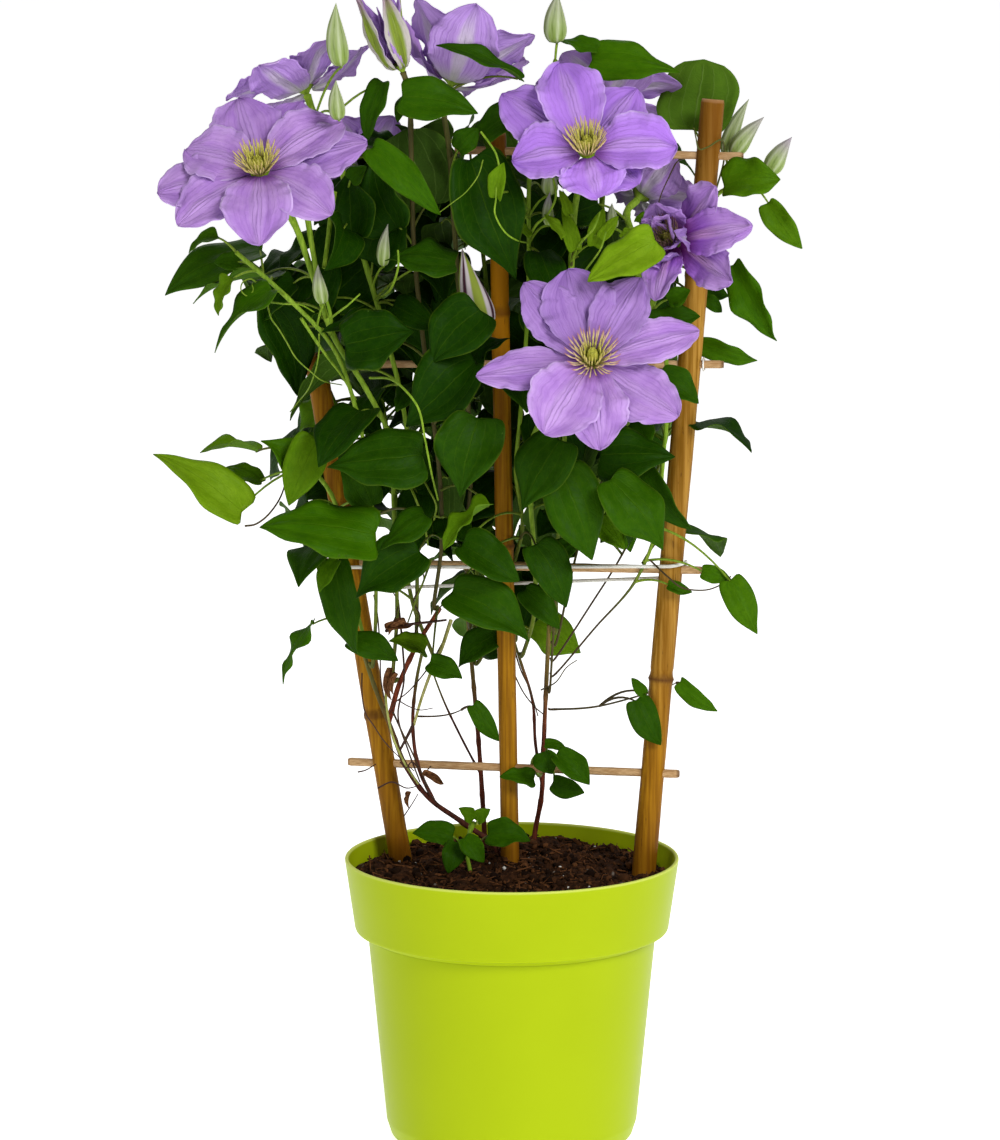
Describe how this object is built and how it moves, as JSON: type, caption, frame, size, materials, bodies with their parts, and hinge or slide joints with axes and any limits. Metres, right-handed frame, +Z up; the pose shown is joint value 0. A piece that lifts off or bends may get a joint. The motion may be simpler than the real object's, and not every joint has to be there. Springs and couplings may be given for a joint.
{
  "type": "potted clematis on a bamboo trellis",
  "caption": "Climbing plant with large lavender star-shaped blooms, buds and glossy leaves, trained up a bamboo fan trellis in a round lime green pot of soil.",
  "frame": {"origin": "centre of the pot's flat bottom, on the surface it stands on", "axes": "+Z up, +X to the right and -Y towards the viewer, seen from the side the blooms face"},
  "size_m": [0.3996, 0.2711, 0.7258],
  "materials": {
    "pot": "satin lime green moulded plastic",
    "soil": "matt dark crumbs, bark fibres and pale grit",
    "bamboo": "smooth golden brown culm with darker joints",
    "rung_wood": "matt pale split wood",
    "tie": "matt off-white elastic",
    "clips": "plain white",
    "bark": "rough red-brown stem",
    "leaves": "glossy green with sunken veins",
    "sepals": "soft lavender-violet with darker veins",
    "stamens": "matt cream and yellow-green"
  },
  "bodies": {
    "root": {"basal_sprig": "leaves", "bloom_10_sepals": "sepals", "bloom_10_stamens": "stamens", "bloom_1_sepals": "sepals", "bloom_1_stamens": "stamens", "bloom_2_sepals": "sepals", "bloom_2_stamens": "stamens", "bloom_3_sepals": "sepals", "bloom_3_stamens": "stamens", "bloom_4_sepals": "sepals", "bloom_4_stamens": "stamens", "bloom_5_sepals": "sepals", "bloom_5_stamens": "stamens", "bloom_6_sepals": "sepals", "bloom_6_stamens": "stamens", "bloom_7_sepals": "sepals", "bloom_7_stamens": "stamens", "bloom_8_sepals": "sepals", "bloom_9_sepals": "sepals", "bloom_9_stamens": "stamens", "cane_left": "bamboo", "cane_middle": "bamboo", "cane_right": "bamboo", "clip_left": "clips", "clip_right": "clips", "pot": "pot", "rung_1": "rung_wood", "rung_2": "rung_wood", "rung_3": "rung_wood", "rung_4": "rung_wood", "shoot_1": "leaves", "shoot_10": "leaves", "shoot_11": "leaves", "shoot_12": "leaves", "shoot_13": "leaves", "shoot_14": "leaves", "shoot_15": "leaves", "shoot_16": "leaves", "shoot_17": "leaves", "shoot_18": "leaves", "shoot_19": "leaves", "shoot_2": "leaves", "shoot_3": "leaves", "shoot_4": "leaves", "shoot_5": "leaves", "shoot_6": "leaves", "shoot_7": "leaves", "shoot_8": "leaves", "shoot_9": "leaves", "soil": "soil", "tie": "tie", "woody_back": "bark", "woody_left": "bark", "woody_right": "bark"}
  },
  "joints": []
}
